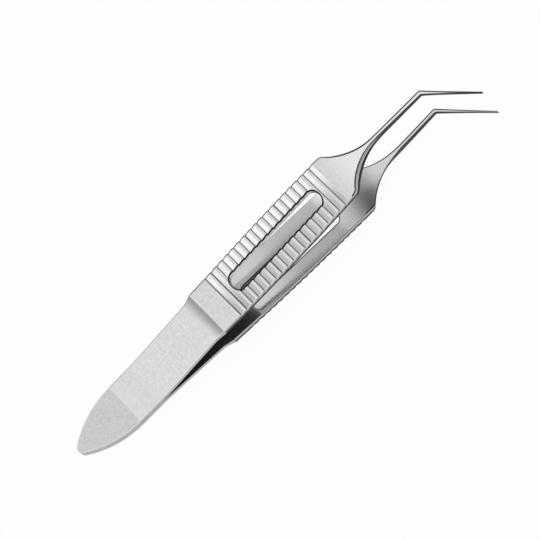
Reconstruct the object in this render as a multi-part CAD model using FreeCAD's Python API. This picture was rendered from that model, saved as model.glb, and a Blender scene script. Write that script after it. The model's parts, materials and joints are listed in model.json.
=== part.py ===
# Angled suture tying forceps in stainless steel: two mirror-image spring arms, joined by a
# weld at a pointed butt. Each arm is one flat piece: a thin leaf, a step up to a thicker
# slotted and cross-grooved handle, a shoulder, a slim shank, and a tip bent in the plane of
# the width. Everything is modelled about the plane halfway between the arms, with x along
# the length from the butt, y across the width and z across the gap, and is then turned to
# lie on the lower arm's handle. Lengths are in millimetres, angles in degrees.

import FreeCAD, Part
import math
import os

Vector = FreeCAD.Vector

# Butt
leaf_width = 8.3
tongue_radius = 16.7
nose_radius = 1.0
weld_length = 15.5
leaf_thickness = 0.72

# Leaf and the step up to the handle
leaf_length = 12.4
leaf_spread = 6.5
step_length = 1.9
handle_thickness = 1.2
crease_width = 8.94

# Handle
handle_spread = 3.3
grip_length = 29.1
grip_width = 9.52
shoulder_width = 9.2

# Through slot with bowed ends
slot_setback = 5.7
slot_length = 20.2
slot_width = 3.86
slot_end_bow = 0.95

# Cross grooves, each with a steep wall towards the butt and a ramp towards the tip
groove_count = 19
groove_setback = 3.55
groove_pitch = 1.322
groove_width = 0.88
groove_depth = 0.25

# Shoulder, hollowed down to the shank, on the outer face and on the inner face of an arm
shoulder_lag_outer = 0.2
shoulder_lag_inner = 0.95
shoulder_round_outer = 1.2
shoulder_round_inner = 0.8
hollow_radius_outer = 9.2
hollow_radius_inner = 14.0

# Shank
shank_width_outer = 0.58
shank_width_inner = 0.72
shank_root_thickness = 0.86
shank_elbow_thickness = 0.58
shank_straight = 10.5
shank_bend_setback = 1.0

# Angled tip, whose inner face meets the other tip flat when the arms close
tip_length = 10.5
tip_bend = 50.0
tip_width_outer = 0.24
tip_width_inner = 0.34
tip_thickness = 0.28
closing_angle = 3.30

# Bends of the arm, seen from the side
crease_bend_radius = 40.0
shoulder_bend_radius = 60.0
root_bend_radius = 80.0

# Broken edges, never rounder than the tip's section leaves room for
edge_round = min(0.10, 0.4 * tip_width_outer, 0.35 * tip_thickness)


def rise(run, angle):
    """Height gained over a run at an angle in degrees."""
    return run * math.tan(math.radians(angle))


def edge_line(start, end):
    return Part.LineSegment(start, end).toShape()


def edge_arc(start, middle, end):
    return Part.Arc(start, middle, end).toShape()


def meet(point, direction, other_point, other_direction):
    """Where two lines in a plane of constant z cross."""
    cross = direction.x * other_direction.y - direction.y * other_direction.x
    gap = other_point - point
    along = (gap.x * other_direction.y - gap.y * other_direction.x) / cross
    return point + direction * along


# Stations along the length
leaf_end = weld_length + leaf_length
crease = leaf_end + step_length
grip_end = crease + grip_length


def taper_start(shank_half, lag, round_radius, hollow_radius):
    """Centre of the hollow beside the shank, for a rounded corner that lags the grip's end."""
    drop = shank_half + hollow_radius - shoulder_width / 2 + round_radius
    reach = math.sqrt((hollow_radius + round_radius) ** 2 - drop ** 2)
    return Vector(grip_end + lag + reach, shank_half + hollow_radius, 0)


outer_shoulder = (shoulder_lag_outer, shoulder_round_outer, hollow_radius_outer)
inner_shoulder = (shoulder_lag_inner, shoulder_round_inner, hollow_radius_inner)
shank_start = taper_start(shank_width_outer / 2, *outer_shoulder).x
shank_bend = shank_start - shank_bend_setback
elbow = shank_start + shank_straight
tip_end = elbow + tip_length * math.cos(math.radians(tip_bend))

# Heights of the inner face above the middle plane
crease_height = rise(crease - weld_length, leaf_spread)
shank_height = crease_height + rise(shank_bend - crease, handle_spread)
elbow_height = rise(elbow - weld_length, closing_angle)
tip_height = rise(tip_end - weld_length, closing_angle)


def inner_height(x):
    """Height of the handle's inner face above the middle plane."""
    return crease_height + rise(x - crease, handle_spread)


def outer_height(x):
    """Height of the handle's outer face above the middle plane."""
    return inner_height(x) + handle_thickness


def side_path(corners):
    """Edges through corners in the x-z plane, each given as x, z and the radius of its bend."""
    points = [Vector(x, 0, z) for x, z, radius in corners]
    edges = []
    start = points[0]
    for index in range(1, len(points) - 1):
        corner = points[index]
        radius = corners[index][2]
        if radius == 0:
            edges.append(edge_line(start, corner))
            start = corner
            continue
        back = (points[index - 1] - corner).normalize()
        ahead = (points[index + 1] - corner).normalize()
        half_turn = (math.pi - back.getAngle(ahead)) / 2
        tangent = radius * math.tan(half_turn)
        sagitta = radius * (1 / math.cos(half_turn) - 1)
        inward = (back + ahead).normalize()
        edges.append(edge_line(start, corner + back * tangent))
        edges.append(edge_arc(corner + back * tangent, corner + inward * sagitta, corner + ahead * tangent))
        start = corner + ahead * tangent
    edges.append(edge_line(start, points[-1]))
    return edges


def arm_side_profile():
    """The arm seen from the side, as a slab wider than the arm."""
    inner = side_path([
        (weld_length, 0.0, 0),
        (crease, crease_height, crease_bend_radius),
        (shank_bend, shank_height, shoulder_bend_radius),
        (elbow, elbow_height, 0),
        (tip_end + tip_width_inner, tip_height + rise(tip_width_inner, closing_angle), 0),
    ])
    leaf_end_outer = rise(leaf_length, leaf_spread) + leaf_thickness
    leaf = [edge_line(Vector(weld_length, 0, leaf_thickness), Vector(leaf_end, 0, leaf_end_outer))]
    step = concave_step(Vector(leaf_end, 0, leaf_end_outer), Vector(crease, 0, outer_height(crease)))
    outer = side_path([
        (crease, outer_height(crease), 0),
        (grip_end, outer_height(grip_end), shoulder_bend_radius),
        (shank_start, shank_height + shank_root_thickness, root_bend_radius),
        (elbow, elbow_height + shank_elbow_thickness, 0),
        (tip_end + tip_width_inner, tip_height + tip_thickness, 0),
    ])
    root = edge_line(Vector(weld_length, 0, leaf_thickness), Vector(weld_length, 0, 0))
    point_end = edge_line(outer[-1].Vertexes[-1].Point, inner[-1].Vertexes[-1].Point)
    face = Part.Face(Part.Wire(Part.__sortEdges__(inner + leaf + step + outer + [root, point_end])))
    reach = leaf_width + tip_length
    slab = face.extrude(Vector(0, 2 * reach, 0))
    slab.translate(Vector(0, -reach, 0))
    return slab


def concave_step(low, high):
    """The ground hollow from the leaf up to the crease, tangent to the leaf."""
    along = Vector(math.cos(math.radians(leaf_spread)), 0, math.sin(math.radians(leaf_spread)))
    across = Vector(-along.z, 0, along.x)
    chord = high - low
    radius = chord.dot(chord) / (2 * chord.dot(across))
    centre = low + across * radius
    bisector = (low - centre + high - centre).normalize()
    return [edge_arc(low, centre + bisector * radius, high)]


def half_side(side, shank_half, lag, round_radius, hollow_radius):
    """One edge of the arm in plan from the leaf's root to the shank, on the side +1 or -1."""
    hollow = taper_start(shank_half, lag, round_radius, hollow_radius)
    corner = Vector(grip_end + lag, shoulder_width / 2 - round_radius, 0)
    corner_start = Vector(grip_end + lag, shoulder_width / 2, 0)
    touch = hollow + (corner - hollow).normalize() * hollow_radius
    corner_middle = corner + ((touch - corner).normalize() + Vector(0, 1, 0)).normalize() * round_radius
    end = Vector(hollow.x, shank_half, 0)
    hollow_middle = hollow + ((touch - hollow) + (end - hollow)).normalize() * hollow_radius
    path = [
        [Vector(weld_length, leaf_width / 2, 0), Vector(leaf_end, leaf_width / 2, 0)],
        [Vector(leaf_end, leaf_width / 2, 0), Vector(crease, crease_width / 2, 0)],
        [Vector(crease, crease_width / 2, 0), Vector((crease + grip_end) / 2, grip_width / 2, 0),
         Vector(grip_end, shoulder_width / 2, 0)],
        [Vector(grip_end, shoulder_width / 2, 0), corner_start],
        [corner_start, corner_middle, touch],
        [touch, hollow_middle, end],
    ]
    edges = []
    for points in path:
        placed = [Vector(p.x, side * p.y, 0) for p in points]
        if len(placed) == 2:
            edges.append(edge_line(*placed))
        else:
            edges.append(edge_arc(*placed))
    return edges


def arm_outline(shank_width, tip_width, shoulder, z):
    """The arm in plan at one height, as a closed wire."""
    shank_half = shank_width / 2
    tip_half = tip_width / 2
    hollow = taper_start(shank_half, *shoulder)
    bend = math.radians(tip_bend)
    along = Vector(math.cos(bend), -math.sin(bend), 0)
    across = Vector(math.sin(bend), math.cos(bend), 0)
    turn = Vector(elbow, 0, 0)
    round_centre = turn + along * (tip_length - tip_half)
    tip_sides = {}
    corners = {}
    for side in (1, -1):
        tip_sides[side] = round_centre + across * (side * tip_half)
        root = turn + across * (side * shank_half)
        shank_edge = Vector(elbow, side * shank_half, 0)
        corners[side] = meet(shank_edge, Vector(1, 0, 0), root, tip_sides[side] - root)
    upper = half_side(1, shank_half, *shoulder)
    lower = half_side(-1, shank_half, *shoulder)
    bent = [
        edge_line(Vector(hollow.x, shank_half, 0), corners[1]),
        edge_line(corners[1], tip_sides[1]),
        edge_arc(tip_sides[1], turn + along * tip_length, tip_sides[-1]),
        edge_line(tip_sides[-1], corners[-1]),
        edge_line(corners[-1], Vector(hollow.x, -shank_half, 0)),
    ]
    root_edge = edge_line(Vector(weld_length, -leaf_width / 2, 0), Vector(weld_length, leaf_width / 2, 0))
    wire = Part.Wire(upper + bent + list(reversed(lower)) + [root_edge])
    wire.translate(Vector(0, 0, z))
    return wire


def arm_plan():
    """The arm in plan as a solid, with side walls that flare from the outer face to the inner."""
    inner = (shank_width_inner, tip_width_inner, inner_shoulder)
    outer = (shank_width_outer, tip_width_outer, outer_shoulder)
    flare_top = shank_height + shank_root_thickness + edge_round
    wires = [
        arm_outline(*inner, -leaf_thickness),
        arm_outline(*inner, inner_height(grip_end)),
        arm_outline(*outer, flare_top),
        arm_outline(*outer, flare_top + handle_thickness),
    ]
    return Part.makeLoft(wires, True, True)


def is_side_wall(face):
    """True where a face stands up from the plane of the width."""
    first_u, last_u, first_v, last_v = face.ParameterRange
    normal = face.normalAt((first_u + last_u) / 2, (first_v + last_v) / 2)
    return abs(normal.z) < math.cos(math.radians(45))


def rounded_rim(blank, left_sharp):
    """The solid with its long rims rounded, apart from edges inside the given stretches of x."""
    rims = []
    for edge in blank.Edges:
        low, high = edge.BoundBox.XMin, edge.BoundBox.XMax
        sharp = any(low > start - edge_round and high < end + edge_round for start, end in left_sharp)
        walls = [is_side_wall(face) for face in blank.ancestorsOfType(edge, Part.Face)]
        if not sharp and walls.count(True) == 1 and walls.count(False) == 1:
            rims.append(edge)
    return blank.makeFillet(edge_round, rims)


def slot_cutter():
    """The long window through the handle, with bowed ends."""
    start = crease + slot_setback
    end = start + slot_length
    half = slot_width / 2
    bow_start = start + slot_end_bow
    bow_end = end - slot_end_bow
    edges = [
        edge_line(Vector(bow_start, half, 0), Vector(bow_end, half, 0)),
        edge_arc(Vector(bow_end, half, 0), Vector(end, 0, 0), Vector(bow_end, -half, 0)),
        edge_line(Vector(bow_end, -half, 0), Vector(bow_start, -half, 0)),
        edge_arc(Vector(bow_start, -half, 0), Vector(start, 0, 0), Vector(bow_start, half, 0)),
    ]
    return Part.Face(Part.Wire(edges)).extrude(Vector(0, 0, outer_height(end) + handle_thickness))


def groove_cutter(index):
    """One cross groove in the handle's outer face."""
    wall = crease + groove_setback + index * groove_pitch
    ramp_end = wall + groove_width
    ridge = Vector(ramp_end, 0, outer_height(ramp_end))
    foot = Vector(wall, 0, outer_height(wall) - groove_depth)
    beyond = ridge + (ridge - foot).normalize() * groove_depth
    above = Vector(0, 0, handle_thickness)
    points = [foot, beyond, beyond + above, foot + above, foot]
    cutter = Part.Face(Part.makePolygon(points)).extrude(Vector(0, 2 * grip_width, 0))
    cutter.translate(Vector(0, -grip_width, 0))
    return cutter


def make_arm():
    """The upper arm, from the leaf's root at the weld to the rounded end of the tip."""
    blank = arm_side_profile().common(arm_plan()).removeSplitter().Solids[0]
    blank = rounded_rim(blank, [(weld_length, weld_length), (leaf_end, crease)])
    cutters = [groove_cutter(index) for index in range(groove_count)] + [slot_cutter()]
    return blank.cut(cutters).Solids[0]


def make_butt():
    """Both tongues and the welded stretch behind the gap, as the one piece that the weld makes."""
    half = leaf_width / 2
    reach = math.sqrt((tongue_radius - nose_radius) ** 2 - (tongue_radius - half) ** 2)
    tongue_end = nose_radius + reach
    nose = Vector(nose_radius, 0, 0)
    sides = []
    touches = {}
    for side in (1, -1):
        centre = Vector(tongue_end, -side * (tongue_radius - half), 0)
        touch = centre + (nose - centre).normalize() * tongue_radius
        shoulder = Vector(tongue_end, side * half, 0)
        middle = centre + ((touch - centre) + (shoulder - centre)).normalize() * tongue_radius
        touches[side] = touch
        sides.append(edge_arc(touch, middle, shoulder))
        sides.append(edge_line(shoulder, Vector(weld_length, side * half, 0)))
    edges = sides + [
        edge_arc(touches[1], Vector(0, 0, 0), touches[-1]),
        edge_line(Vector(weld_length, half, 0), Vector(weld_length, -half, 0)),
    ]
    outline = Part.Wire(Part.__sortEdges__(edges))
    butt = Part.Face(outline).extrude(Vector(0, 0, 2 * leaf_thickness))
    butt.translate(Vector(0, 0, -leaf_thickness))
    return rounded_rim(butt, [(weld_length, weld_length)])


def lay_down(shapes):
    """Turns the forceps to lie on the lower handle, with the origin under the middle of its box."""
    turn = FreeCAD.Rotation(Vector(0, 1, 0), -handle_spread)
    for shape in shapes.values():
        shape.Placement = FreeCAD.Placement(Vector(0, 0, 0), turn)
    box = Part.Compound(list(shapes.values())).optimalBoundingBox(False, False)
    shift = Vector(-box.Center.x, -box.Center.y, -box.ZMin)
    for shape in shapes.values():
        shape.Placement = FreeCAD.Placement(shift, turn)
    return shift


def main():
    upper_arm = make_arm()
    parts = {
        "welded_butt": make_butt(),
        "upper_arm": upper_arm,
        "lower_arm": upper_arm.mirror(Vector(0, 0, 0), Vector(0, 0, 1)),
    }
    shift = lay_down(parts)
    os.makedirs("parts", exist_ok=True)
    for name, shape in parts.items():
        shape.exportStep(os.path.join("parts", name + ".step"))
        print(name, "valid", shape.isValid(), "solids", len(shape.Solids), "volume", round(shape.Volume, 2))
    print("shift", [round(value, 4) for value in shift])


main()
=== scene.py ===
import json
import logging
import math
from dataclasses import dataclass, field
from enum import Enum
from typing import Any, Callable, Optional

import bmesh
import bpy
from mathutils import Matrix, Vector


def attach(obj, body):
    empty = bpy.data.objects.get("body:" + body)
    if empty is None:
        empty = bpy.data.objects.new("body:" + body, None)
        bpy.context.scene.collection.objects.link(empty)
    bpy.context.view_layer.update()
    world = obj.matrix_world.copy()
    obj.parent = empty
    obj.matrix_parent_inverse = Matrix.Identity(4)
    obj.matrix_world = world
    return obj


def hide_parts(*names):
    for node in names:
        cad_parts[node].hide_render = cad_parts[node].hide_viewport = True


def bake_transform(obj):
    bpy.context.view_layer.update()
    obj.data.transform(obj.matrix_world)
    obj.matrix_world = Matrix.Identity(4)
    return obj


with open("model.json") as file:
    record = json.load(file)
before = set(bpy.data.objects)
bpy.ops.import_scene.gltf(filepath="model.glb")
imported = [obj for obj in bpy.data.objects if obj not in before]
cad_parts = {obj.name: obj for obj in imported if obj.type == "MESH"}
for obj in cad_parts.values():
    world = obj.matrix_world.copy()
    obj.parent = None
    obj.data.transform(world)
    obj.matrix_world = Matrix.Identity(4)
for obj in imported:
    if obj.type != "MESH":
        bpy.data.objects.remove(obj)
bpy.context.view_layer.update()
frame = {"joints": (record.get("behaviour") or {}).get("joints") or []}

# Angled suture tying forceps: two spring arms of satin stainless steel, welded together at a
# pointed butt whose faces are ground matte. Shapes are worked out in millimetres about the
# plane between the arms, with x from the butt, y across the width and z across the gap.

log = logging.getLogger("tying_forceps")
# A millimetre in metres, and a quarter turn in degrees.
MM = 0.001
QUARTER_TURN = 90
# Strips round a broken edge, and how far the edge drops for each millimetre that it reaches in.
RIM_STEPS = 4
RIM_FLATNESS = 0.4
# Where a face's inner row of points runs, as a share of the way from its middle to its rim.
FACE_MIDDLE = 0.6
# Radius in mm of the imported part's rounded edges: its shoulder stops flaring that far above
# the top of the shank's root.
CAD_RIM = 0.096
# Lengths in mm below which the slot is closed, and below which two points are one.
TOUCHING = 0.0001
WELD_DISTANCE = 0.0005
# How far in mm on both sides of a row its side wall's slope is taken, and the most that the
# slope's square counts for.
SLOPE_REACH = 0.01
STEEPEST_SQUARE = 4.0
# Faces that meet at more than this many degrees keep a crisp edge.
SMOOTH_ANGLE = 38.0

# How far the scratches and the mottling go into fine detail, and how strong that detail is.
SCRATCH_NOISE = {"Scale": 1.0, "Detail": 3.0, "Roughness": 0.6}
MOTTLE_NOISE = {"Detail": 4.0, "Roughness": 0.55}
# What scratches and mottling add up to where a finish has its dark and its light tone.
DARK_SUM = 0.75
LIGHT_SUM = 1.3
# The scratches' levels at which the gloss is at its two ends.
SCRATCH_LOW = 0.3
SCRATCH_HIGH = 0.7
# Small pits: the spacing in mm of the noise that places them, the level that half of the
# surface passes, how far above that pits end altogether, how far below and above its level a
# pit's edge runs out, and its tone.
PIT_SPACING = 0.5
PIT_MIDDLE = 0.5
PIT_RANGE = 0.4
PIT_START = 0.02
PIT_END = 0.03
PIT_TONE = "8c8c8e"


class ArmSide(Enum):
    """Which side of the plane between the arms an arm lies on."""

    UPPER = 1
    LOWER = -1


class Zone(Enum):
    """The part of the surface that a face belongs to, which gives it its finish."""

    OUTER = 0
    INNER = 1
    WALL = 2
    SHADOW_STRIP = 3
    RIM = 4
    BRIGHT_RIM = 5
    RAMP = 6
    CUT = 7
    SLOT_RIM = 8
    SLOT_WALL = 9
    STEP = 10


class Axis(Enum):
    """The way that a change of finish runs: along the forceps or across their width."""

    LENGTH = "X"
    WIDTH = "Y"


class Grain(Enum):
    """The way that the scratches of a finish run: lengths of a scratch along x, y and z."""

    ACROSS = (1.0, 14.0, 1.0)
    ALONG = (14.0, 1.0, 1.0)
    EVEN = (1.0, 1.0, 1.0)


def linear(colour: str) -> tuple[float, float, float, float]:
    """Turns an sRGB hex colour into linear red, green, blue and alpha.

    Args:
        colour: Six hex digits, such as "d8d8da".

    Returns:
        Linear channels from 0 to 1, with an alpha of 1.
    """
    channels = []
    for start in (0, 2, 4):
        value = int(colour[start:start + 2], 16) / 255
        channels.append(value / 12.92 if value <= 0.04045 else ((value + 0.055) / 1.055) ** 2.4)
    return (channels[0], channels[1], channels[2], 1.0)


def add_node(tree: bpy.types.NodeTree, kind: str, inputs: Optional[dict[Any, Any]] = None,
             **settings: Any) -> bpy.types.Node:
    """Adds a node with its settings, its input values and its links.

    Args:
        tree: The node tree that gets the node.
        kind: The node's type name.
        inputs: For an input's name or number, a value, or a socket to link to it.
        **settings: Properties of the node itself.

    Returns:
        The new node.
    """
    node = tree.nodes.new(kind)
    for name, value in settings.items():
        setattr(node, name, value)
    for name, value in (inputs or {}).items():
        if isinstance(value, bpy.types.NodeSocket):
            tree.links.new(value, node.inputs[name])
        else:
            node.inputs[name].default_value = value
    return node


@dataclass(frozen=True)
class Fade:
    """A tone and a gloss that come in along one axis of the frame, between two places in mm; the tones
    paint light and shade into the colour.
    """

    axis: Axis
    start: float
    end: float
    tone: str
    roughness: float

    def share(self, tree: bpy.types.NodeTree, place: bpy.types.NodeSocket) -> bpy.types.NodeSocket:
        """Adds the nodes that tell how far the fade has come in at a point.

        Args:
            tree: The material's node tree.
            place: Where on the piece the point is.

        Returns:
            A share from 0 to 1.
        """
        parts = add_node(tree, "ShaderNodeSeparateXYZ", {"Vector": place}).outputs
        return add_node(tree, "ShaderNodeMapRange", {
            "Value": parts[self.axis.value], "From Min": self.start * MM,
            "From Max": self.end * MM}, interpolation_type="SMOOTHSTEP").outputs["Result"]


@dataclass(frozen=True)
class SteelFinish:
    """A finish of stainless steel: two tones, gloss, scratches, pits and fades of painted light and
    shade. Sizes are in mm.
    """

    name: str
    light: str
    dark: str
    roughness: float
    roughness_swing: float
    grain: Grain
    scratch_pitch: float
    scratch_depth: float
    patch_size: float = 3.0
    pit_share: float = 0.0
    fades: tuple[Fade, ...] = ()

    def material(self) -> bpy.types.Material:
        """Makes the finish as a node material, once.

        Returns:
            The material, shared by every piece that has this finish.
        """
        if self.name in bpy.data.materials:
            return bpy.data.materials[self.name]
        made = bpy.data.materials.new(self.name)
        made.use_nodes = True
        tree = made.node_tree
        tree.nodes.clear()
        place = add_node(tree, "ShaderNodeTexCoord").outputs["Object"]
        pitch = self.scratch_pitch * MM
        scratch_scale = tuple(1 / (pitch * length) for length in self.grain.value)
        scratch_place = add_node(tree, "ShaderNodeVectorMath", {0: place, 1: scratch_scale},
                                 operation="MULTIPLY").outputs["Vector"]
        scratches = add_node(tree, "ShaderNodeTexNoise", {
            "Vector": scratch_place, **SCRATCH_NOISE}).outputs["Fac"]
        patches = add_node(tree, "ShaderNodeTexNoise", {
            "Vector": place, "Scale": 1 / (self.patch_size * MM), **MOTTLE_NOISE}).outputs["Fac"]
        tone = add_node(tree, "ShaderNodeMath", {0: scratches, 1: patches},
                        operation="ADD").outputs["Value"]
        share = add_node(tree, "ShaderNodeMapRange", {
            "Value": tone, "From Min": DARK_SUM, "From Max": LIGHT_SUM}).outputs["Result"]
        colour = add_node(tree, "ShaderNodeMix", {
            "Factor": share, "A": linear(self.dark), "B": linear(self.light)},
            data_type="RGBA").outputs[2]
        if self.pit_share:
            colour = self.pitted(tree, place, colour)
        gloss = add_node(tree, "ShaderNodeMapRange", {
            "Value": scratches, "From Min": SCRATCH_LOW, "From Max": SCRATCH_HIGH,
            "To Min": self.roughness - self.roughness_swing,
            "To Max": self.roughness + self.roughness_swing}).outputs["Result"]
        for fade in self.fades:
            share = fade.share(tree, place)
            colour = add_node(tree, "ShaderNodeMix", {
                "Factor": share, "A": colour, "B": linear(fade.tone)}, data_type="RGBA").outputs[2]
            gloss = add_node(tree, "ShaderNodeMix", {
                0: share, 2: gloss, 3: fade.roughness}).outputs[0]
        relief = add_node(tree, "ShaderNodeBump", {
            "Height": scratches, "Distance": self.scratch_depth * MM,
            "Strength": 1.0}).outputs["Normal"]
        shader = add_node(tree, "ShaderNodeBsdfPrincipled", {
            "Base Color": colour, "Metallic": 1.0, "Roughness": gloss, "Normal": relief})
        add_node(tree, "ShaderNodeOutputMaterial", {"Surface": shader.outputs["BSDF"]})
        return made

    def pitted(self, tree: bpy.types.NodeTree, place: bpy.types.NodeSocket,
               colour: bpy.types.NodeSocket) -> bpy.types.NodeSocket:
        """Darkens a few small pits that handling and cleaning leave in the steel.

        Args:
            tree: The material's node tree.
            place: Where on the piece a point is.
            colour: The colour without pits.

        Returns:
            The colour with pits.
        """
        specks = add_node(tree, "ShaderNodeTexNoise", {
            "Vector": place, "Scale": 1 / (PIT_SPACING * MM), "Detail": 1.0}).outputs["Fac"]
        edge = PIT_MIDDLE + PIT_RANGE * (1 - self.pit_share)
        pit = add_node(tree, "ShaderNodeMapRange", {
            "Value": specks, "From Min": edge - PIT_START,
            "From Max": edge + PIT_END}).outputs["Result"]
        return add_node(tree, "ShaderNodeMix", {
            "Factor": pit, "A": colour, "B": linear(PIT_TONE)}, data_type="RGBA").outputs[2]


# The steel is a hardened stainless one. Its scratches are near 0.02 mm apart, too fine to show
# in a render, so every finish draws them coarser, at the pitch that it gives.

# Painted dark reflection: past the elbow every face turns from silver to a grey that is nearly
# black at the point, painted into the colour for the dark surroundings that the tips mirror.
PAINTED_DARK_TIP = Fade(Axis.LENGTH, 35.4, 40.0, "3c3c3f", 0.36)

# Outer faces satined with a fine abrasive wheel: pale, softly blurred reflections with a faint
# grain across the width. A painted highlight makes them a little brighter towards both ends, at
# the finish line and at the shoulder, and the painted dark tip darkens them past the elbow.
SATIN_FACE = SteelFinish("stainless_satin_wheel_polished", "d7d7d8", "c0c0c1", roughness=0.34,
                         roughness_swing=0.05, grain=Grain.ACROSS, scratch_pitch=0.20,
                         scratch_depth=0.0022, patch_size=0.45, pit_share=0.22,
                         fades=(Fade(Axis.LENGTH, -22.0, -42.0, "dadadb", 0.34),
                                Fade(Axis.LENGTH, 14.5, 20.0, "e2e2e3", 0.34), PAINTED_DARK_TIP))

# The hollow of the step, ground with a small coarse wheel: pale like the faces beside it, a
# shade brighter in front with a painted highlight, and greyer towards the crease with painted shade.
GROUND_STEP = SteelFinish("stainless_hollow_ground_step", "cfcfd0", "c4c4c5", roughness=0.38,
                          roughness_swing=0.05, grain=Grain.ACROSS, scratch_pitch=0.09,
                          scratch_depth=0.0024, patch_size=1.6,
                          fades=(Fade(Axis.WIDTH, 4.6, -2.2, "d4d4d5", 0.38),
                                 Fade(Axis.LENGTH, -15.0, -13.4, "b4b4b5", 0.42)))

# The arms' inner faces: painted shade between the arms from the weld up to the slot, then painted
# light where the slot lets light through, painted shade again towards the shoulder, and grey at the
# tips.
INNER_PAINTED_LIGHT = SteelFinish("stainless_inner_painted_shade_and_light", "8c8c8e", "7c7c7e", roughness=0.34,
                          roughness_swing=0.03, grain=Grain.ACROSS, scratch_pitch=0.12,
                          scratch_depth=0.0018, patch_size=2.6,
                          fades=(Fade(Axis.LENGTH, -7.0, -6.3, "cdcdce", 0.13),
                                 Fade(Axis.LENGTH, -5.0, 5.0, "b8b8b9", 0.28),
                                 Fade(Axis.LENGTH, 11.0, 13.2, "efeff0", 0.44),
                                 Fade(Axis.LENGTH, 14.0, 18.6, "9c9c9e", 0.26),
                                 Fade(Axis.LENGTH, 19.0, 22.5, "d0d0d1", 0.30),
                                 Fade(Axis.LENGTH, 36.5, 40.5, "88888a", 0.34)))

# Side walls as blanked and then tumbled, with an uneven, soft gloss: painted shade makes them greyer
# than the faces and dark from the shoulder on, for the dark surroundings that they mirror.
WALL_PAINTED_SHADE = SteelFinish("stainless_wall_painted_shade", "bababc", "ababad", roughness=0.38,
                           roughness_swing=0.06, grain=Grain.ALONG, scratch_pitch=0.10,
                           scratch_depth=0.0022, patch_size=1.4,
                           fades=(Fade(Axis.LENGTH, 22.5, 27.0, "4c4c4e", 0.42), PAINTED_DARK_TIP))

# A painted shadow: a coarse, dark band over the lower strip of each arm's side walls past the step.
PAINTED_SHADOW_BAND = SteelFinish("stainless_painted_shadow_band", "404042", "343436", roughness=0.46,
                           roughness_swing=0.05, grain=Grain.ALONG, scratch_pitch=0.08,
                           scratch_depth=0.0030, patch_size=1.0)

# Rims broken by hand with a fine file and not buffed: thin dark lines round the arms.
# Broken rims with painted dark reflection: thin dark lines round the arms, for the dark surroundings
# that the rims mirror, and darker still past the elbow.
DARK_REFLECTION_RIM = SteelFinish("stainless_rim_painted_dark_reflection", "3e3e40", "303032", roughness=0.28,
                        roughness_swing=0.05, grain=Grain.ALONG, scratch_pitch=0.12,
                        scratch_depth=0.0008, fades=(PAINTED_DARK_TIP,))

# Rims of the leaves and the handles that fingers and cloths keep bright.
WORN_RIM = SteelFinish("stainless_worn_rim", "e2e2e3", "d8d8d9", roughness=0.20,
                       roughness_swing=0.04, grain=Grain.ALONG, scratch_pitch=0.12,
                       scratch_depth=0.0008)

# Ramps of the cross grooves, milled with a sharp cutter: a painted highlight makes them brighter
# than the satined lands, and painted shade makes them duller towards the side of the bent tips.
RAMP_PAINTED_LIGHT = SteelFinish("stainless_ramp_painted_light", "ebebec", "dededf", roughness=0.27,
                          roughness_swing=0.05, grain=Grain.ACROSS, scratch_pitch=0.09,
                          scratch_depth=0.0012, patch_size=1.2,
                          fades=(Fade(Axis.WIDTH, 4.8, -1.8, "b4b4b5", 0.34),))

# Steep walls of the grooves, and the lower slot's wall: rough cut metal, kept dark by painted shade.
CUT_PAINTED_SHADE = SteelFinish("stainless_cut_painted_shade", "6e6e70", "58585a", roughness=0.5,
                        roughness_swing=0.06, grain=Grain.ACROSS, scratch_pitch=0.09,
                        scratch_depth=0.003, patch_size=0.8)

# The slot's rims, broken with a needle file and kept dark by painted shade along the slot's edges.
SLOT_RIM_PAINTED_SHADE = SteelFinish("stainless_slot_rim_painted_shade", "323234", "262628", roughness=0.42,
                           roughness_swing=0.05, grain=Grain.ALONG, scratch_pitch=0.09,
                           scratch_depth=0.0020, patch_size=0.9)

# The upper slot's walls, punched through, in a bright painted lit tone: the lit copy of the slot wall.
LIT_SLOT_WALL = SteelFinish("stainless_slot_wall_painted_lit", "e0e0e1", "d0d0d1", roughness=0.30,
                          roughness_swing=0.06, grain=Grain.ALONG, scratch_pitch=0.10,
                          scratch_depth=0.0026, patch_size=1.1)

# Tongue ground flat after welding on a fine belt: matte and a shade darker than the leaves.
GROUND_TONGUE = SteelFinish("stainless_belt_ground", "d4d4d5", "c0c0c1", roughness=0.46,
                            roughness_swing=0.05, grain=Grain.EVEN, scratch_pitch=0.30,
                            scratch_depth=0.0024, patch_size=0.5, pit_share=0.18)

ZONE_FINISHES = {
    Zone.OUTER: SATIN_FACE,
    Zone.INNER: INNER_PAINTED_LIGHT,
    Zone.WALL: WALL_PAINTED_SHADE,
    Zone.SHADOW_STRIP: PAINTED_SHADOW_BAND,
    Zone.RIM: DARK_REFLECTION_RIM,
    Zone.BRIGHT_RIM: WORN_RIM,
    Zone.RAMP: RAMP_PAINTED_LIGHT,
    Zone.CUT: CUT_PAINTED_SHADE,
    Zone.SLOT_RIM: SLOT_RIM_PAINTED_SHADE,
    Zone.SLOT_WALL: LIT_SLOT_WALL,
    Zone.STEP: GROUND_STEP,
}


@dataclass(frozen=True)
class MiddlePlane:
    """The plane between the arms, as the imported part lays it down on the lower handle."""

    crotch: Vector
    crotch_x: float
    tilt: float

    def direction(self, x: float, y: float, z: float) -> Vector:
        """Turns a direction of the forceps' own axes into the frame's axes."""
        turn = math.radians(self.tilt)
        return Vector((x * math.cos(turn) - z * math.sin(turn), y,
                       x * math.sin(turn) + z * math.cos(turn)))

    def point(self, x: float, y: float, z: float) -> Vector:
        """Turns a point in millimetres about the middle plane into metres in the frame."""
        return self.crotch + self.direction(x - self.crotch_x, y, z) * MM


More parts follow.
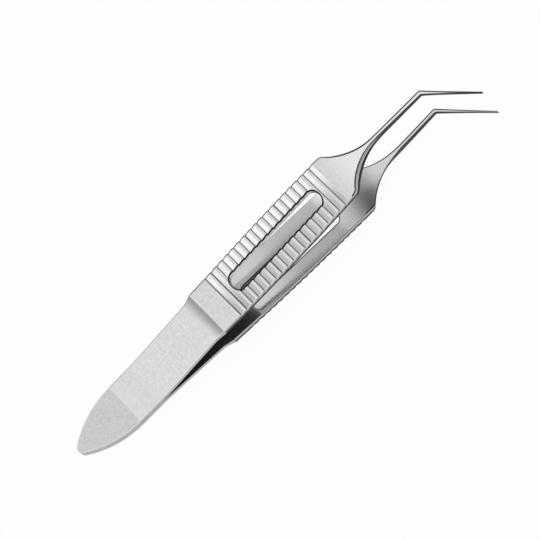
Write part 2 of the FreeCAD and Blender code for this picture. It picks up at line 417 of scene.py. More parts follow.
class MeshDraft:
    """Points about the middle plane and faces with a zone each, on their way to a mesh."""

    def __init__(self, plane: MiddlePlane, mirror: int = 1) -> None:
        """Starts an empty draft.

        Args:
            plane: The plane that the points are given about.
            mirror: 1, or -1 to mirror every height in the plane.
        """
        self.plane = plane
        self.mirror = mirror
        self.points: list[Vector] = []
        self.faces: list[list[int]] = []
        self.zones: list[Zone] = []

    def point(self, x: float, y: float, z: float) -> int:
        """Adds a point in millimetres and returns its number."""
        self.points.append(self.plane.point(x, y, z * self.mirror))
        return len(self.points) - 1

    def face(self, corners: list[int], zone: Zone) -> None:
        """Adds a face, which may meet itself where a row is drawn to a point.

        Args:
            corners: The numbers of its points, in order round it.
            zone: The part of the surface that it belongs to.
        """
        kept = list(dict.fromkeys(corners))
        if len(kept) > 2:
            self.faces.append(kept)
            self.zones.append(zone)

    def to_object(self, name: str, finishes: dict[Zone, SteelFinish]) -> bpy.types.Object:
        """Makes the mesh, with outward faces, a material for each zone and smooth shading.

        Args:
            name: The piece's name.
            finishes: The finish of each zone.

        Returns:
            The object, linked to the scene.
        """
        mesh = bpy.data.meshes.new(name)
        mesh.from_pydata(self.points, [], self.faces)
        used = [zone for zone in finishes if zone in self.zones]
        for zone in used:
            mesh.materials.append(finishes[zone].material())
        mesh.polygons.foreach_set("material_index", [used.index(zone) for zone in self.zones])
        shape = bmesh.new()
        shape.from_mesh(mesh)
        bmesh.ops.remove_doubles(shape, verts=shape.verts, dist=WELD_DISTANCE * MM)
        bmesh.ops.recalc_face_normals(shape, faces=shape.faces)
        shape.to_mesh(mesh)
        shape.free()
        mesh.shade_smooth()
        mesh.set_sharp_from_angle(angle=math.radians(SMOOTH_ANGLE))
        piece = bpy.data.objects.new(name, mesh)
        bpy.context.scene.collection.objects.link(piece)
        weighted = piece.modifiers.new("even_faces", "WEIGHTED_NORMAL")
        weighted.mode = "FACE_AREA_WITH_ANGLE"
        weighted.keep_sharp = True
        return piece


def half_section(width_at: Callable[[float], float], top: float, low: float, top_rim: float,
                 low_rim: float, stretch: float, split: float = 0.5) -> list[tuple[float, float]]:
    """One side of a flat bar's section, from its top face round the edge to its low face.

    Args:
        width_at: The bar's half width at a height.
        top: Height of the top face.
        low: Height of the low face.
        top_rim: How far the broken top edge reaches over the top face.
        low_rim: How far the broken low edge reaches over the low face.
        stretch: How much longer the rim is across the row than square to the edge.
        split: Where the wall's two strips meet, as a share of the height from the low face.

    Returns:
        Points across the width and height, the middles of the two faces left out.
    """
    quarter = [math.pi / 2 * step / RIM_STEPS for step in range(RIM_STEPS + 1)]
    top_edge = []
    low_edge = []
    for turn in quarter:
        z = top - top_rim * RIM_FLATNESS * (1 - math.cos(turn))
        top_edge.append((width_at(z) - top_rim * stretch * (1 - math.sin(turn)), z))
        z = low + low_rim * RIM_FLATNESS * (1 - math.cos(turn))
        low_edge.append((width_at(z) - low_rim * stretch * (1 - math.sin(turn)), z))
    middle = low + (top - low) * split
    return ([(top_edge[0][0] * FACE_MIDDLE, top)] + top_edge + [(width_at(middle), middle)]
            + low_edge[::-1] + [(low_edge[0][0] * FACE_MIDDLE, low)])


def ease(share: float) -> float:
    """A share that starts and ends softly, held between 0 and 1."""
    held = min(1.0, max(0.0, share))
    return held * held * (3 - 2 * held)


def spread(start: float, end: float, step: float) -> list[float]:
    """Even stations from start up to end, both included, at most a step apart."""
    count = max(1, math.ceil((end - start) / step))
    return [start + (end - start) * index / count for index in range(count + 1)]


@dataclass
class GroundTongue:
    """The pointed butt behind the finish line, where the weld and the grinding leave one piece."""

    plane: MiddlePlane
    width: float = 8.3
    thickness: float = 1.44
    flank_radius: float = 16.7
    nose_radius: float = 1.0
    rim: float = 0.1
    grinding: float = 0.02
    nose_step: int = 9
    row_step: float = 0.5

    @property
    def length(self) -> float:
        """Length from the nose to the finish line, where the flanks run into the leaves."""
        inset = self.flank_radius - self.width / 2
        return self.nose_radius + math.sqrt((self.flank_radius - self.nose_radius) ** 2 - inset ** 2)

    def half_width(self, x: float) -> float:
        """Half of the tongue's width.

        Args:
            x: Station along the length.

        Returns:
            The half width there, on the round nose or on the bowed flanks.
        """
        inset = self.flank_radius - self.width / 2
        ahead = self.length - self.nose_radius
        touch = self.nose_radius * (1 - ahead / (self.flank_radius - self.nose_radius))
        if x < touch:
            return math.sqrt(max(0.0, self.nose_radius ** 2 - (self.nose_radius - x) ** 2))
        return math.sqrt(self.flank_radius ** 2 - (self.length - x) ** 2) - inset

    def stations(self) -> list[float]:
        """Rows along the tongue, closer together round the nose."""
        angles = range(0, QUARTER_TURN + 1, self.nose_step)
        round_end = [self.nose_radius * (1 - math.cos(math.radians(angle))) for angle in angles]
        return round_end + spread(self.nose_radius, self.length, self.row_step)[1:]

    def build(self) -> bpy.types.Object:
        """Builds the tongue and lets it ride on the butt.

        Returns:
            The finished piece.
        """
        draft = MeshDraft(self.plane)
        half_thickness = self.thickness / 2 - self.grinding
        zones = [Zone.OUTER] * 2 + [Zone.RIM] * RIM_STEPS + [Zone.WALL] * 2
        zones += [Zone.RIM] * RIM_STEPS + [Zone.OUTER] * 2
        previous: list[list[int]] = []
        for x in self.stations():
            half = self.half_width(x)
            rim = min(self.rim, half)
            half_row = half_section(lambda z: half, half_thickness, -half_thickness, rim, rim, 1.0)
            top = draft.point(x, 0, half_thickness)
            low = draft.point(x, 0, -half_thickness)
            row = [[top] + [draft.point(x, side * y, z) for y, z in half_row] + [low]
                   for side in (1, -1)]
            for before, now in zip(previous, row):
                for index, zone in enumerate(zones):
                    draft.face([before[index], before[index + 1], now[index + 1], now[index]], zone)
            previous = row
        draft.face(previous[0] + previous[1][::-1], Zone.WALL)
        finishes = {Zone.OUTER: GROUND_TONGUE, Zone.RIM: WORN_RIM, Zone.WALL: WALL_PAINTED_SHADE}
        piece = draft.to_object("ground_tongue", finishes)
        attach(piece, "butt")
        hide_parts("welded_butt")
        return piece


@dataclass(frozen=True)
class Corner:
    """A corner of a side path, and the radius of its bend."""

    x: float
    z: float
    radius: float = 0.0


@dataclass(frozen=True)
class SidePath:
    """A face seen from the side: straight runs between corners, some of them rounded."""

    corners: tuple[Corner, ...]

    def height(self, x: float) -> float:
        """Height of the path above the middle plane.

        Args:
            x: Station along the length.

        Returns:
            The height there, on the arc of a rounded corner or on a straight run.
        """
        for before, corner, after in zip(self.corners, self.corners[1:], self.corners[2:]):
            way_in = math.atan2(corner.z - before.z, corner.x - before.x)
            way_out = math.atan2(after.z - corner.z, after.x - corner.x)
            radius = math.copysign(corner.radius, way_out - way_in)
            tangent = corner.radius * math.tan(abs(way_out - way_in) / 2)
            start = corner.x - tangent * math.cos(way_in)
            if start < x < corner.x + tangent * math.cos(way_out):
                centre_x = start - radius * math.sin(way_in)
                centre_z = corner.z - tangent * math.sin(way_in) + radius * math.cos(way_in)
                reach = math.sqrt(corner.radius ** 2 - (x - centre_x) ** 2)
                return centre_z - math.copysign(reach, radius)
        runs = list(zip(self.corners, self.corners[1:]))
        left, right = next((run for run in runs if x <= run[1].x), runs[-1])
        return left.z + (right.z - left.z) * (x - left.x) / (right.x - left.x)


@dataclass(frozen=True)
class Shoulder:
    """One outline of the shoulder: a rounded corner, then a hollow that runs into the shank."""

    corner_start: float
    corner_half: float
    corner_radius: float
    hollow_radius: float
    shank_half: float

    @property
    def reach(self) -> float:
        """Length from the start of the corner to the start of the straight shank."""
        drop = self.shank_half + self.hollow_radius - self.corner_half + self.corner_radius
        return math.sqrt((self.hollow_radius + self.corner_radius) ** 2 - drop ** 2)

    def half_width(self, x: float) -> float:
        """Half of the width past the end of the grip.

        Args:
            x: Station along the length.

        Returns:
            The half width there, on the corner, in the hollow or on the straight shank.
        """
        run = x - self.corner_start
        touch = self.reach * self.corner_radius / (self.hollow_radius + self.corner_radius)
        if run < 0:
            return self.corner_half
        if run < touch:
            bow = math.sqrt(self.corner_radius ** 2 - run ** 2)
            return self.corner_half - self.corner_radius + bow
        if run < self.reach:
            bow = math.sqrt(self.hollow_radius ** 2 - (self.reach - run) ** 2)
            return self.shank_half + self.hollow_radius - bow
        return self.shank_half


@dataclass(frozen=True)
class RowSteps:
    """How far apart an arm's rows are, in mm, and how long the stretches of close rows are."""

    leaf: float = 0.55
    step: float = 0.17
    handle: float = 0.4
    slot_end_angle: int = 15
    grip_end_length: float = 2.0
    corner: float = 0.1
    corner_length: float = 2.6
    hollow: float = 0.3
    hollow_past_start: float = 4.0
    shank: float = 0.7
    elbow: float = 0.07
    elbow_length: float = 0.27
    elbow_clear: float = 0.4
    tip: float = 0.5
    tip_end: float = 0.035
    closest: float = 0.02


@dataclass
class Row:
    """One row of an arm's mesh: its station, its points on each side, and where it stands."""

    station: float
    sides: dict[int, list[int]]
    centre: Vector
    slot_half: float
    top: float
    low: float


@dataclass
class SpringArm:
    """One arm: leaf, step, slotted and grooved handle, shoulder, shank and angled tip."""

    side: ArmSide
    plane: MiddlePlane
    tongue: GroundTongue
    # The half of the weld, the leaf and the step. Lengths are in mm, angles in degrees.
    weld_length: float = 15.5
    leaf_length: float = 12.4
    leaf_spread: float = 6.5
    root_bend: float = 25.0
    step_length: float = 1.9
    # The handle, and the bends where its faces change their slope.
    handle_thickness: float = 1.2
    crease_half: float = 4.47
    handle_spread: float = 3.3
    crease_bend: float = 40.0
    grip_length: float = 29.1
    grip_half: float = 4.76
    shoulder_half: float = 4.6
    # The slot, with round ends that are flatter than half circles, and its broken rims.
    slot_setback: float = 5.7
    slot_length: float = 20.2
    slot_half: float = 1.93
    slot_bow: float = 1.25
    slot_rim_outset: float = 0.02
    slot_rim: float = 0.20
    slot_near_lip: float = 0.0
    slot_rim_drop: float = 0.26
    # The cross grooves: each has a rounded lip, a steep wall and a long ramp.
    groove_count: int = 19
    groove_setback: float = 3.55
    groove_pitch: float = 1.322
    groove_width: float = 0.88
    groove_depth: float = 0.24
    groove_wall_run: float = 0.13
    groove_lip: float = 0.03
    groove_lip_slope: float = 0.4
    # The shoulder's outlines at the outer and at the inner face: how far past the grip the
    # corner starts, and the radii of the corner and the hollow.
    outer_corner_lag: float = 0.2
    outer_corner_radius: float = 1.2
    outer_hollow_radius: float = 9.2
    inner_corner_lag: float = 0.95
    inner_corner_radius: float = 0.8
    inner_hollow_radius: float = 14.0
    # The shank, from its root to the elbow: half widths at both faces, and thicknesses.
    shank_half_outer: float = 0.36
    shank_half_inner: float = 0.43
    shank_root_thickness: float = 0.86
    shank_elbow_thickness: float = 0.58
    shank_straight: float = 10.5
    shank_bend_setback: float = 1.0
    shank_inner_bend: float = 60.0
    shoulder_outer_bend: float = 60.0
    shank_outer_bend: float = 80.0
    elbow_radius: float = 0.55
    # The bent tip, the share of its width that is left at the very end, and the angle from the
    # middle plane at which the inner faces of the tips meet when they close.
    tip_length: float = 10.5
    tip_bend: float = 50.0
    tip_taper: float = 0.5
    tip_half_outer: float = 0.12
    tip_half_inner: float = 0.17
    tip_thickness: float = 0.28
    tip_end_share: float = 0.2
    closing_angle: float = 3.30
    # How far the broken edges reach over the faces, the most that they take of the width and
    # the height, and the painted shadow band's share of a side wall.
    leaf_rim: float = 0.09
    back_rim: float = 0.21
    front_rim: float = 0.10
    inner_rim: float = 0.06
    shank_inner_rim: float = 0.20
    shank_back_rim: float = 0.28
    rim_width_share: float = 0.75
    rim_height_share: float = 0.42
    shadow_strip_share: float = 0.50
    # What finishing by hand changed on one arm and not on the other.
    lean: float = 0.0
    slimmer: float = 0.0
    slot_shift: float = 0.0
    shoulder_delay: float = 0.0
    steps: RowSteps = RowSteps()
    rows: list[Row] = field(default_factory=list)

    def __post_init__(self) -> None:
        """Works out the stations, the side paths and the shoulder's outlines."""
        self.leaf_thickness = self.tongue.thickness / 2
        self.leaf_end = self.weld_length + self.leaf_length
        self.crease = self.leaf_end + self.step_length
        self.grip_end = self.crease + self.grip_length
        corner = self.grip_end + self.shoulder_delay
        self.outer_hollow = Shoulder(
            corner + self.outer_corner_lag, self.shoulder_half, self.outer_corner_radius,
            self.outer_hollow_radius, self.shank_half_outer)
        self.inner_hollow = Shoulder(
            corner + self.inner_corner_lag, self.shoulder_half, self.inner_corner_radius,
            self.inner_hollow_radius, self.shank_half_inner)
        packed_corner = self.outer_hollow.corner_start - self.shoulder_delay
        self.shank_start = packed_corner + self.outer_hollow.reach
        self.elbow = self.shank_start + self.shank_straight
        self.tip_end = self.elbow + self.tip_length * math.cos(math.radians(self.tip_bend))
        crease_height = self.climb(self.crease - self.weld_length, self.leaf_spread)
        shank_bend = self.shank_start - self.shank_bend_setback
        shank_height = crease_height + self.climb(shank_bend - self.crease, self.handle_spread)
        elbow_height = self.climb(self.elbow - self.weld_length, self.closing_angle)
        tip_height = self.climb(self.tip_end - self.weld_length, self.closing_angle)
        grip_rise = self.climb(self.grip_length, self.handle_spread)
        self.inner_path = SidePath((
            Corner(0.0, 0.0), Corner(self.weld_length, 0.0, self.root_bend),
            Corner(self.crease, crease_height, self.crease_bend),
            Corner(shank_bend, shank_height, self.shank_inner_bend),
            Corner(self.elbow, elbow_height), Corner(self.tip_end, tip_height)))
        handle_base = crease_height + self.handle_thickness
        self.outer_path = SidePath((
            Corner(self.crease, handle_base),
            Corner(self.grip_end, handle_base + grip_rise, self.shoulder_outer_bend),
            Corner(self.shank_start, shank_height + self.shank_root_thickness, self.shank_outer_bend),
            Corner(self.elbow, elbow_height + self.shank_elbow_thickness),
            Corner(self.tip_end, tip_height + self.tip_thickness)))
        self.flare_low = crease_height + grip_rise
        self.flare_top = shank_height + self.shank_root_thickness + CAD_RIM
        self.slot_start = self.crease + self.slot_setback
        self.slot_end = self.slot_start + self.slot_length

    @staticmethod
    def climb(run: float, angle: float) -> float:
        """Height gained over a run at an angle in degrees."""
        return run * math.tan(math.radians(angle))

    def lean_at(self, x: float) -> float:
        """How far the middle line leans towards the bent tips at a station."""
        onset = ease((x - self.leaf_end) / (self.slot_start - self.leaf_end))
        return self.lean * onset * ease((self.tip_end - x) / (self.tip_end - self.shank_start))

    def slimmer_at(self, x: float) -> float:
        """How much is gone from each side of the handle at a station."""
        onset = ease((x - self.leaf_end) / (self.slot_start - self.leaf_end))
        return self.slimmer * onset * ease((self.shank_start - x) / (self.shank_start - self.grip_end))

    def groove_drop(self, x: float) -> float:
        """How far the grooves take the outer face down.

        Args:
            x: Station along the length.

        Returns:
            The depth there, or zero between grooves.
        """
        past_first = x - self.crease - self.groove_setback
        index = math.floor((past_first + self.groove_lip) / self.groove_pitch)
        if not 0 <= index < self.groove_count:
            return 0.0
        past = past_first - index * self.groove_pitch
        lip_drop = self.groove_lip * self.groove_lip_slope
        if past < self.groove_lip:
            return lip_drop * (past + self.groove_lip) / (2 * self.groove_lip)
        if past < self.groove_wall_run:
            share = (past - self.groove_lip) / (self.groove_wall_run - self.groove_lip)
            return lip_drop + (self.groove_depth - lip_drop) * share
        ramp_left = self.groove_width - past
        return max(0.0, self.groove_depth * ramp_left / (self.groove_width - self.groove_wall_run))

    def groove_rows(self) -> list[float]:
        """Finds the rows that the grooves need.

        Returns:
            The stations where lips, walls and ramps begin and end.
        """
        rows = []
        for index in range(self.groove_count):
            wall = self.crease + self.groove_setback + index * self.groove_pitch
            rows += [wall - self.groove_lip, wall + self.groove_lip, wall + self.groove_wall_run,
                     wall + self.groove_width]
        return rows

    def outer_height(self, x: float) -> float:
        """Height of the outer face above the middle plane.

        Args:
            x: Station along the length.

        Returns:
            The height there, on the leaf, in the ground hollow of the step or past it.
        """
        if x <= self.leaf_end:
            return self.inner_path.height(x) + self.leaf_thickness
        if x >= self.crease:
            return self.outer_path.height(x) - self.groove_drop(x)
        slope = math.radians(self.leaf_spread)
        low = self.inner_path.height(self.leaf_end) + self.leaf_thickness
        rise = self.outer_path.height(self.crease) - low
        chord = Vector((self.step_length, rise))
        across = Vector((-math.sin(slope), math.cos(slope)))
        radius = chord.dot(chord) / (2 * chord.dot(across))
        centre = Vector((self.leaf_end, low)) + across * radius
        return centre.y - math.sqrt(radius ** 2 - (x - centre.x) ** 2)

    def half_width(self, station: float, z: float) -> float:
        """Half of the arm's width at a station and a height, where the side walls flare.

        Args:
            station: Distance along the arm's middle line.
            z: Height above the middle plane.

        Returns:
            The half width across the middle line.
        """
        if station <= self.leaf_end:
            return self.tongue.width / 2
        if station <= self.crease:
            share = (station - self.leaf_end) / self.step_length
            return self.tongue.width / 2 + (self.crease_half - self.tongue.width / 2) * share
        if station <= self.grip_end:
            share = (station - self.crease) / self.grip_length
            swell = self.grip_half - (self.crease_half + self.shoulder_half) / 2
            straight = self.crease_half + (self.shoulder_half - self.crease_half) * share
            bulge = swell * 4 * share * (1 - share)
            return straight + bulge - self.slimmer_at(station)
        outer = self.outer_hollow.half_width(station)
        inner = self.inner_hollow.half_width(station)
        if station > self.elbow:
            run = (station - self.elbow) / (self.tip_length - self.tip_half_inner)
            taper = min(1.0, run) ** self.tip_taper
            outer += (self.tip_half_outer - outer) * taper
            inner += (self.tip_half_inner - inner) * taper
        flare = min(1.0, max(0.0, (z - self.flare_low) / (self.flare_top - self.flare_low)))
        half = inner + (outer - inner) * flare
        half -= self.slimmer_at(station)
        left = self.elbow + self.tip_length - station
        if left < half:
            smallest = (self.tip_end_share * half) ** 2
            half = math.sqrt(max(half ** 2 - (half - left) ** 2, smallest))
        return half

    def slot_ring(self, x: float) -> float:
        """Half width of the slot, measured at the outer edge of its rim.

        Args:
            x: Station along the length.

        Returns:
            The half width there, or zero outside the slot.
        """
        reach = self.slot_bow + self.slot_rim_outset
        inside = min(x - self.slot_start, self.slot_end - x) + self.slot_rim_outset
        if inside < TOUCHING:
            return 0.0
        share = max(0.0, 1 - inside / reach)
        return (self.slot_half + self.slot_rim_outset) * math.sqrt(1 - share ** 2)

    def slot_inward(self, x: float, y: float) -> tuple[float, float]:
        """Finds the way from the slot's rim into the opening, square to its outline.

        Args:
            x: Station of a point on the rim.
            y: How far the point is from the slot's middle line.

        Returns:
            The way's two parts, along the arm and across it, one long together.
        """
        reach = self.slot_bow + self.slot_rim_outset
        from_start = self.slot_start - self.slot_rim_outset + reach - x
        from_end = x - (self.slot_end + self.slot_rim_outset - reach)
        along = max(0.0, from_start) - max(0.0, from_end)
        half = self.slot_half + self.slot_rim_outset
        way = Vector((along / reach ** 2, -y / half ** 2)).normalized()
        return way.x, way.y

    def place(self, station: float) -> tuple[Vector, Vector]:
        """The middle line's point at a station, and the way across the arm there.

        Args:
            station: Distance along the middle line, measured as if the elbow were sharp.

        Returns:
            The point and the direction across, both in the plane of the width.
        """
        bend = math.radians(self.tip_bend)
        tangent = self.elbow_radius * math.tan(bend / 2)
        turned = min(1.0, max(0.0, (station - self.elbow + tangent) / (2 * tangent))) * bend
        across = Vector((math.sin(turned), math.cos(turned)))
        if station <= self.elbow - tangent:
            middle = Vector((station, 0.0))
        elif station < self.elbow + tangent:
            middle = Vector((self.elbow - tangent, -self.elbow_radius)) + across * self.elbow_radius
        else:
            past = station - self.elbow
            middle = Vector((self.elbow + past * math.cos(bend), -past * math.sin(bend)))
        return middle - Vector((0.0, self.lean_at(middle.x))), across

    def stations(self) -> list[float]:
        """Finds every row's station: at each edge, and closer together round the bends.

        Returns:
            The stations in order, from the finish line to the end of the tip.
        """
        steps = self.steps
        reach = self.slot_bow + self.slot_rim_outset
        slot_start = self.slot_start - self.slot_rim_outset
        slot_end = self.slot_end + self.slot_rim_outset
        fixed = self.groove_rows() + [
            self.tongue.length, self.leaf_end, self.crease, self.grip_end, slot_start, slot_end]
        corner_end = self.grip_end + steps.corner_length
        hollow_end = self.shank_start + steps.hollow_past_start
        arm_end = self.elbow + self.tip_length
        round_start = arm_end - self.tip_half_inner
        soft: list[float] = []
        for start, end, step in (
                (self.tongue.length, self.leaf_end, steps.leaf),
                (self.leaf_end, self.crease, steps.step),
                (self.crease, self.crease + self.groove_setback, steps.handle),
                (self.grip_end - steps.grip_end_length, self.grip_end, steps.handle),
                (self.grip_end, corner_end, steps.corner),
                (corner_end, hollow_end, steps.hollow),
                (hollow_end, self.elbow - steps.elbow_clear, steps.shank),
                (self.elbow - steps.elbow_length, self.elbow + steps.elbow_length, steps.elbow),
                (self.elbow + steps.elbow_clear, round_start, steps.tip),
                (round_start, arm_end, steps.tip_end)):
            soft += spread(start, end, step)
        for angle in range(steps.slot_end_angle, QUARTER_TURN + 1, steps.slot_end_angle):
            inside = reach * (1 - math.cos(math.radians(angle)))
            soft += [slot_start + inside, slot_end - inside]
        kept = [row for row in soft if all(abs(row - other) > steps.closest for other in fixed)]
        return sorted(set(fixed + kept))

    def add_row(self, draft: MeshDraft, station: float) -> Row:
        """Adds the points of one row.

        Args:
            draft: The mesh under way.
            station: Distance along the middle line.

        Returns:
            The row.
        """
        centre, across = self.place(station)
        top = self.outer_height(centre.x)
        low = self.inner_path.height(centre.x)
        middle = (top + low) / 2
        ahead = self.half_width(station + SLOPE_REACH, middle)
        slope = (ahead - self.half_width(station - SLOPE_REACH, middle)) / SLOPE_REACH / 2
        stretch = math.sqrt(1 + min(slope ** 2, STEEPEST_SQUARE))
        width_limit = self.rim_width_share * (self.half_width(station, top) / stretch)
        height_limit = self.rim_height_share * (top - low)
        split = self.shadow_strip_share if self.side is ArmSide.UPPER else 1 - self.shadow_strip_share
        ring = self.slot_ring(station)
        sides = {}
        shared: list[int] = []
        for side in (1, -1):
            if ring > 0 or not shared:
                middle_y = centre.y - self.slot_shift + side * ring
                shared = [draft.point(centre.x, middle_y, top), draft.point(centre.x, middle_y, low)]
            top_rim, low_rim = (min(rim, width_limit, height_limit) for rim in self.rims(station, side))
            half_row = half_section(lambda z: self.half_width(station, z), top, low, top_rim, low_rim,
                                    stretch, split)
            edge = [draft.point(centre.x + across.x * side * y, centre.y + across.y * side * y, z)
                    for y, z in half_row]
            sides[side] = [shared[0]] + edge + [shared[1]]
        return Row(station, sides, centre, ring, top, low)

    def rims(self, station: float, side: int) -> tuple[float, float]:
        """Finds how far the broken edges reach over the two faces.

        Args:
            station: Distance along the middle line.
            side: The side of the middle line, 1 or -1.

        Returns:
            The reach over the outer face and the reach over the inner one.
        """
        top_rim = self.leaf_rim
        if station > self.crease:
            top_rim = self.back_rim if self.painted_dark_rim(station, side) else self.front_rim
        low_rim = self.inner_rim if station < self.grip_end else self.shank_inner_rim
        slimming = ease((station - self.grip_end) / (self.shank_start - self.grip_end))
        shank_rim = self.shank_back_rim if side > 0 else self.front_rim
        top_rim += slimming * (shank_rim - top_rim)
        if side > 0:
            low_rim += slimming * (self.shank_back_rim - low_rim)
        return top_rim, low_rim

    def painted_dark_rim(self, station: float, side: int) -> bool:
        """Whether the rim gets the painted dark reflection: along the back, and on both sides past the
        grip.
        """
        return side > 0 or station > self.grip_end

    def face_zone(self, middle: float) -> Zone:
        """Finds the zone of the outer face between two rows.

        Args:
            middle: The station halfway between them.

        Returns:
            The zone of the step, a groove's wall or ramp, or a plain stretch.
        """
        if self.leaf_end < middle < self.crease:
            return Zone.STEP
        past = middle - self.crease - self.groove_setback
        index, inside = divmod(past, self.groove_pitch)
        if not 0 <= index < self.groove_count or inside > self.groove_width:
            return Zone.OUTER
        # A groove's steep wall gets the painted shade of the cut walls.
        return Zone.CUT if inside < self.groove_wall_run else Zone.RAMP

    def strip_zones(self, middle: float, side: int) -> list[Zone]:
        """The zones of a half row's strips, from the middle of the outer face to the inner one's.

        Args:
            middle: The station halfway between two rows.
            side: The side of the middle line, 1 or -1.

        Returns:
            One zone for each strip.
        """
        face = self.face_zone(middle)
        # Rims along the back, and on both sides past the grip, get the painted dark reflection.
        rim = Zone.RIM if self.painted_dark_rim(middle, side) else Zone.BRIGHT_RIM
        walls = [Zone.WALL, Zone.WALL]
        # Past the step, the lower strip of each side wall gets the painted shadow band.
        if middle > self.crease:
            walls[1 if self.side is ArmSide.UPPER else 0] = Zone.SHADOW_STRIP
        return ([face] * 2 + [Zone.CUT if face is Zone.CUT else rim] * RIM_STEPS + walls
                + [Zone.RIM] * RIM_STEPS + [Zone.INNER] * 2)

    def join_rows(self, draft: MeshDraft, before: Row, now: Row) -> None:
        """Adds the faces between two rows.

        Args:
            draft: The mesh under way.
            before: The row nearer the butt.
            now: The row nearer the tip.
        """
        for side in (1, -1):
            old, new = before.sides[side], now.sides[side]
            for index, zone in enumerate(self.strip_zones((before.station + now.station) / 2, side)):
                draft.face([old[index], old[index + 1], new[index + 1], new[index]], zone)

    def add_slot_wall(self, draft: MeshDraft) -> None:
        """Adds the slot's broken rims and its wall, between the outer and the inner face.

        Args:
            draft: The mesh under way.
        """
        inside = [row for row in self.rows if row.slot_half > 0]
        first = self.rows[self.rows.index(inside[0]) - 1]
        last = self.rows[self.rows.index(inside[-1]) + 1]
        loop = [(first, 1)] + [(row, 1) for row in inside] + [(last, 1)]
        loop += [(row, -1) for row in reversed(inside)]
        quarter = [math.pi / 2 * step / RIM_STEPS for step in range(1, RIM_STEPS + 1)]
        rings = [[row.sides[side][0] for row, side in loop]]
        for outward in (True, False):
            for turn in (quarter if outward else quarter[::-1]):
                ring = []
                for row, side in loop:
                    x = row.centre.x
                    y = side * row.slot_half
                    way_x, way_y = self.slot_inward(x, y)
                    reach = (self.slot_rim + self.slot_near_lip * max(0.0, way_y)) * math.sin(turn)
                    drop = (self.slot_rim_drop if outward else self.inner_rim) * (1 - math.cos(turn))
                    z = row.top - drop if outward else row.low + drop
                    across = row.centre.y - self.slot_shift + y + way_y * reach
                    ring.append(draft.point(x + way_x * reach, across, z))
                rings.append(ring)
        rings.append([row.sides[side][-1] for row, side in loop])
        # Only the upper arm's slot wall gets the bright painted lit tone: the lower one's gets painted
        # shade.
        wall = Zone.SLOT_WALL if self.side is ArmSide.UPPER else Zone.CUT
        for number, (upper, lower) in enumerate(zip(rings, rings[1:])):
            zone = wall if number == RIM_STEPS else Zone.SLOT_RIM
            for index in range(len(loop)):
                after = (index + 1) % len(loop)
                draft.face([upper[index], upper[after], lower[after], lower[index]], zone)

    def build(self) -> bpy.types.Object:
        """Builds the arm in one piece with its half of the weld.

        Returns:
            The finished piece.
        """
        draft = MeshDraft(self.plane, self.side.value)
        for station in self.stations():
            self.rows.append(self.add_row(draft, station))
        for before, now in zip(self.rows, self.rows[1:]):
            self.join_rows(draft, before, now)
        for row in (self.rows[0], self.rows[-1]):
            draft.face(row.sides[1] + row.sides[-1][::-1], Zone.WALL)
        self.add_slot_wall(draft)
        body = self.side.name.lower()
        piece = draft.to_object("spring_arm_" + body, ZONE_FINISHES)
        start = self.plane.point(self.weld_length, 0, 0)
        self.plane.point(self.leaf_end, 0, 0)
        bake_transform(piece)
        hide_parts(body + "_arm")
        return piece


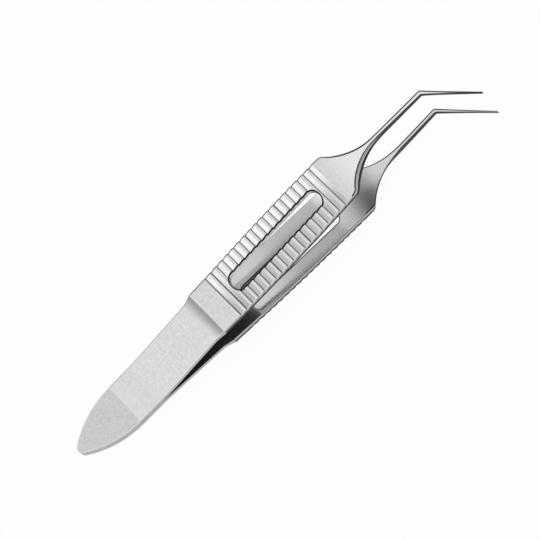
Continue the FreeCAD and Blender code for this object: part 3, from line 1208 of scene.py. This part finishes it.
@dataclass
class Studio:
    """A pale floor under a bright ceiling, a soft lamp and the long lens that looks down."""

    plane: MiddlePlane
    # The view: how far it is off square about the length, the length's angle in the picture,
    # the point in the picture's middle and the picture's width in mm, and the lens.
    sight_tilt: float = 28.0
    length_angle: float = 45.25
    centre_along: float = 30.05
    centre_up: float = 28.85
    view_width: float = 85.3
    lens: float = 300.0
    sensor: float = 36.0
    # The floor in metres, its tone, and the share of its white that is its own light where the
    # lens or a reflection sees it.
    floor_radius: float = 1.2
    sweep_radius: float = 0.25
    floor_segments: int = 96
    sweep_rings: int = 8
    floor_tone: str = "fafafa"
    own_white: float = 0.93
    # The lamp in metres and watts.
    softbox_place: tuple[float, float, float] = (-0.35, 0.28, 0.62)
    softbox_size: float = 0.50
    softbox_power: float = 0.25
    # The ceiling: how high a look has to rise, of 0 at the horizon and 1 overhead, for its light
    # to start to grow and to be full, and its strength at both.
    horizon_height: float = 0.22
    ceiling_height: float = 0.66
    horizon_light: float = 0.30
    ceiling_light: float = 1.0

    def build(self) -> None:
        """Sets the floor, the surroundings, the lamp and the camera."""
        self.add_floor()
        self.add_surroundings()
        self.add_softbox()
        self.add_camera()

    def add_floor(self) -> None:
        """Adds the floor, whose edge sweeps up: white to the eye and to reflections, with shadows."""
        profile = [(self.floor_radius, 0.0)]
        for ring in range(1, self.sweep_rings + 1):
            turn = math.pi / 2 * ring / self.sweep_rings
            profile.append((self.floor_radius + self.sweep_radius * math.sin(turn),
                            self.sweep_radius * (1 - math.cos(turn))))
        corners = []
        for radius, height in profile:
            for segment in range(self.floor_segments):
                turn = 2 * math.pi * segment / self.floor_segments
                corners.append((radius * math.cos(turn), radius * math.sin(turn), height))
        faces = [list(range(self.floor_segments))]
        for ring in range(self.sweep_rings):
            start = ring * self.floor_segments
            for segment in range(self.floor_segments):
                after = (segment + 1) % self.floor_segments
                faces.append([start + segment, start + after, start + after + self.floor_segments,
                              start + segment + self.floor_segments])
        mesh = bpy.data.meshes.new("studio_floor")
        mesh.from_pydata(corners, [], faces)
        made = bpy.data.materials.new("matte_white_paper")
        made.use_nodes = True
        tree = made.node_tree
        tree.nodes.clear()
        rays = add_node(tree, "ShaderNodeLightPath").outputs
        seen = add_node(tree, "ShaderNodeMath", {
            0: rays["Is Camera Ray"], 1: rays["Is Glossy Ray"]}, operation="MAXIMUM").outputs["Value"]
        seen = add_node(tree, "ShaderNodeMath", {0: seen, 1: rays["Is Transmission Ray"]},
                        operation="MAXIMUM").outputs["Value"]
        share = add_node(tree, "ShaderNodeMath", {0: seen, 1: self.own_white},
                         operation="MULTIPLY").outputs["Value"]
        paper = add_node(tree, "ShaderNodeBsdfDiffuse", {"Color": linear(self.floor_tone)})
        white = add_node(tree, "ShaderNodeEmission", {"Color": linear("ffffff"), "Strength": 1.0})
        mixed = add_node(tree, "ShaderNodeMixShader", {
            0: share, 1: paper.outputs["BSDF"], 2: white.outputs["Emission"]})
        add_node(tree, "ShaderNodeOutputMaterial", {"Surface": mixed.outputs["Shader"]})
        mesh.materials.append(made)
        floor = bpy.data.objects.new("studio_floor", mesh)
        bpy.context.scene.collection.objects.link(floor)

    def add_surroundings(self) -> None:
        """Lights the scene from a bright ceiling that darkens towards the horizon."""
        world = bpy.data.worlds.new("studio_tent")
        world.use_nodes = True
        tree = world.node_tree
        tree.nodes.clear()
        way = add_node(tree, "ShaderNodeTexCoord").outputs["Generated"]
        height = add_node(tree, "ShaderNodeSeparateXYZ", {"Vector": way}).outputs["Z"]
        level = add_node(tree, "ShaderNodeMapRange", {
            "Value": height, "From Min": self.horizon_height, "From Max": self.ceiling_height,
            "To Min": self.horizon_light, "To Max": self.ceiling_light},
            interpolation_type="SMOOTHSTEP").outputs["Result"]
        glow = add_node(tree, "ShaderNodeBackground", {"Color": linear("ffffff"), "Strength": level})
        add_node(tree, "ShaderNodeOutputWorld", {"Surface": glow.outputs["Background"]})
        bpy.context.scene.world = world

    def add_softbox(self) -> None:
        """Adds a square lamp, above and behind the butt, that faces the forceps."""
        lamp = bpy.data.lights.new("side_softbox", "AREA")
        lamp.shape = "RECTANGLE"
        lamp.size = self.softbox_size
        lamp.size_y = self.softbox_size
        lamp.energy = self.softbox_power
        softbox = bpy.data.objects.new("side_softbox", lamp)
        softbox.location = self.softbox_place
        softbox.rotation_mode = "QUATERNION"
        softbox.rotation_quaternion = (-Vector(self.softbox_place)).to_track_quat("-Z", "Y")
        bpy.context.scene.collection.objects.link(softbox)

    def add_camera(self) -> None:
        """Adds a long lens at the photograph's angle, looking at the middle of its frame."""
        tilt = math.radians(self.sight_tilt)
        turn = math.radians(self.length_angle)
        back = Vector((0, -math.sin(tilt), math.cos(tilt)))
        down = Vector((0, -math.cos(tilt), -math.sin(tilt)))
        along = Vector((1, 0, 0))
        right = along * math.cos(turn) + down * math.sin(turn)
        up = along * math.sin(turn) - down * math.cos(turn)
        aim = right * self.centre_along + up * self.centre_up
        target = self.plane.point(*aim)
        axes = [self.plane.direction(*axis) for axis in (right, up, back)]
        distance = self.view_width * MM * self.lens / self.sensor
        lens = bpy.data.cameras.new("long_lens")
        lens.lens = self.lens
        lens.sensor_width = self.sensor
        camera = bpy.data.objects.new("long_lens", lens)
        turned = Matrix([axes[0], axes[1], axes[2]]).transposed().to_4x4()
        camera.matrix_world = Matrix.Translation(target + axes[2] * distance) @ turned
        bpy.context.scene.collection.objects.link(camera)
        bpy.context.scene.camera = camera


def main() -> None:
    """Builds the forceps' pieces and the studio around them, and reports each."""
    logging.basicConfig(level=logging.INFO, format="%(message)s")
    bpy.context.scene.view_settings.view_transform = "Standard"
    hinge = next(joint for joint in frame["joints"] if joint["child"] == "upper")
    plane = MiddlePlane(Vector(hinge["pos_m"]), SpringArm.weld_length, SpringArm.handle_spread)
    tongue = GroundTongue(plane)
    # Each arm is finished by hand, so they differ a little: the lower one leans more, is slimmer
    # at the handle, has its slot off the middle and its shoulder nearer the tips. The upper
    # one's slot has a broad near lip that carries painted shade, and its shank widens more towards the
    # inner face.
    upper = SpringArm(ArmSide.UPPER, plane, tongue, lean=0.09, slot_near_lip=0.26,
                      shank_half_outer=0.31, shank_half_inner=0.54)
    lower = SpringArm(ArmSide.LOWER, plane, tongue, lean=0.22, slimmer=0.22, slot_shift=0.22,
                      shoulder_delay=0.55)
    for maker in (tongue, upper, lower):
        piece = maker.build()
        log.info("built %s with %d faces", piece.name, len(piece.data.polygons))
    Studio(plane).build()
    log.info("set the studio")


if __name__ == "__main__":
    main()
